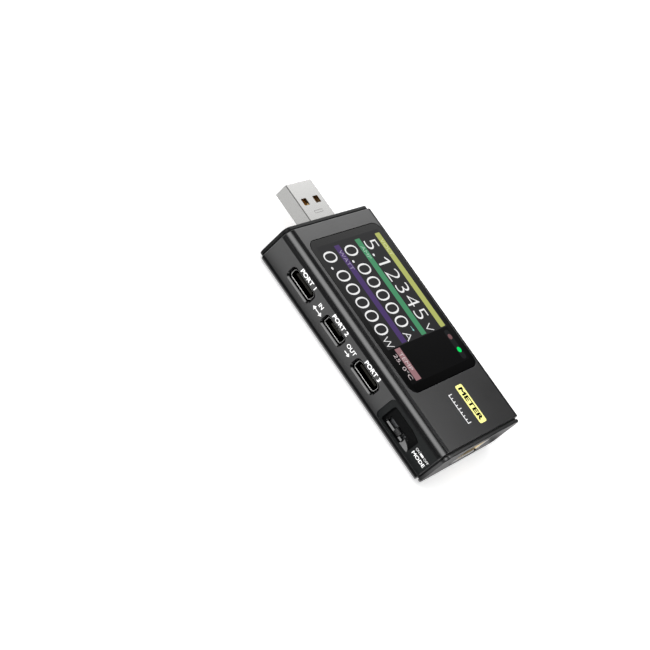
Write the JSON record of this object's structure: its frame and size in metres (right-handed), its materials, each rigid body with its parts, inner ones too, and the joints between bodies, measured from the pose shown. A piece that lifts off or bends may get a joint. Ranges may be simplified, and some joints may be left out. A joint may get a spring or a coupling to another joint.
{
  "type": "usb power meter",
  "caption": "Handheld inline USB power meter: plug at one end, socket at the other, colour display, side ports, slide switch, thumb wheel and round button.",
  "frame": {"origin": "under the middle of the whole meter's box, on the flat back face it lies on", "axes": "+X from the plug end to the socket end, +Y towards the thumb wheel side, +Z out of the display"},
  "size_m": [0.0856, 0.0426, 0.0132],
  "materials": {
    "case_plastic": "satin black moulded plastic, fine texture",
    "end_plate_plastic": "satin dark grey moulded plastic",
    "label_film": "matt grey printed film",
    "lens_acrylic": "polished acrylic, printed black behind",
    "gasket_foam": "thin black adhesive foam",
    "white_plastic": "plain white moulding",
    "display_image": "lit colour display behind the lens",
    "ribbon_film": "amber flexible circuit film",
    "circuit_board": "green solder mask",
    "chip_epoxy": "black epoxy",
    "ferrite": "dark grey ferrite",
    "bright_steel": "bright nickel-plated sheet steel",
    "port_steel": "dark nickel-plated sheet steel",
    "switch_steel": "plated steel can",
    "screw_steel": "blackened steel",
    "gold_contact": "gold-plated contact",
    "dark_plastic": "black connector resin",
    "orange_plastic": "orange connector resin",
    "key_plastic": "satin black key plastic",
    "legend_print": "white printed legends",
    "tag_print": "yellow printed tag"
  },
  "bodies": {
    "meter_case": {"front_housing": "case_plastic", "back_cover": "case_plastic", "plug_end_plate": "end_plate_plastic", "socket_end_plate": "end_plate_plastic", "rating_label": "label_film", "display_lens": "lens_acrylic", "lens_gasket": "gasket_foam", "lcd_tray": "white_plastic", "lcd_glass": "display_image", "lcd_ribbon": "ribbon_film", "lcd_connector": "white_plastic", "main_board": "circuit_board", "processor_chip": "chip_epoxy", "protocol_chip": "chip_epoxy", "timing_crystal": "bright_steel", "shunt_resistor": "chip_epoxy", "power_inductor": "ferrite", "plug_shell": "bright_steel", "plug_insulator": "orange_plastic", "socket_shell": "bright_steel", "socket_tongue": "orange_plastic", "slide_switch_body": "switch_steel", "wheel_switch_base": "dark_plastic", "back_switch_body": "switch_steel", "case_screw_1": "screw_steel", "plug_contact_1": "gold_contact", "socket_contact_1": "gold_contact", "case_screw_2": "screw_steel", "plug_contact_2": "gold_contact", "socket_contact_2": "gold_contact", "case_screw_3": "screw_steel", "plug_contact_3": "gold_contact", "socket_contact_3": "gold_contact", "case_screw_4": "screw_steel", "plug_contact_4": "gold_contact", "socket_contact_4": "gold_contact", "port_1_shell": "port_steel", "port_1_tongue": "dark_plastic", "port_2_shell": "port_steel", "port_2_tongue": "dark_plastic", "port_3_shell": "port_steel", "port_3_tongue": "dark_plastic", "data_port_shell": "port_steel", "data_port_tongue": "dark_plastic"},
    "slide_knob": {"slide_switch_knob": "key_plastic"},
    "wheel_carriage": {"wheel_carrier": "dark_plastic"},
    "wheel": {"thumb_wheel": "key_plastic"},
    "back_key": {"back_button": "key_plastic", "back_switch_plunger": "key_plastic"}
  },
  "joints": [
    {"name": "slide_switch_travel", "type": "slide", "parent": "meter_case", "child": "slide_knob", "axis": [1, 0, 0], "range_m": [-0.002, 0]},
    {"name": "wheel_press", "type": "slide", "parent": "meter_case", "child": "wheel_carriage", "axis": [0, -1, 0], "range_m": [0, 0.0004], "stiffness_N_per_m": 800, "springref_m": -0.0005},
    {"name": "wheel_tilt", "type": "hinge", "parent": "wheel_carriage", "child": "wheel", "pos_m": [0.01825, 0.01325, 0.00725], "axis": [0, 0, 1], "range_deg": [-10, 10], "stiffness_Nm_per_rad": 0.02},
    {"name": "back_button_press", "type": "slide", "parent": "meter_case", "child": "back_key", "axis": [0, -1, 0], "range_m": [0, 0.00035], "stiffness_N_per_m": 800, "springref_m": -0.0005}
  ]
}
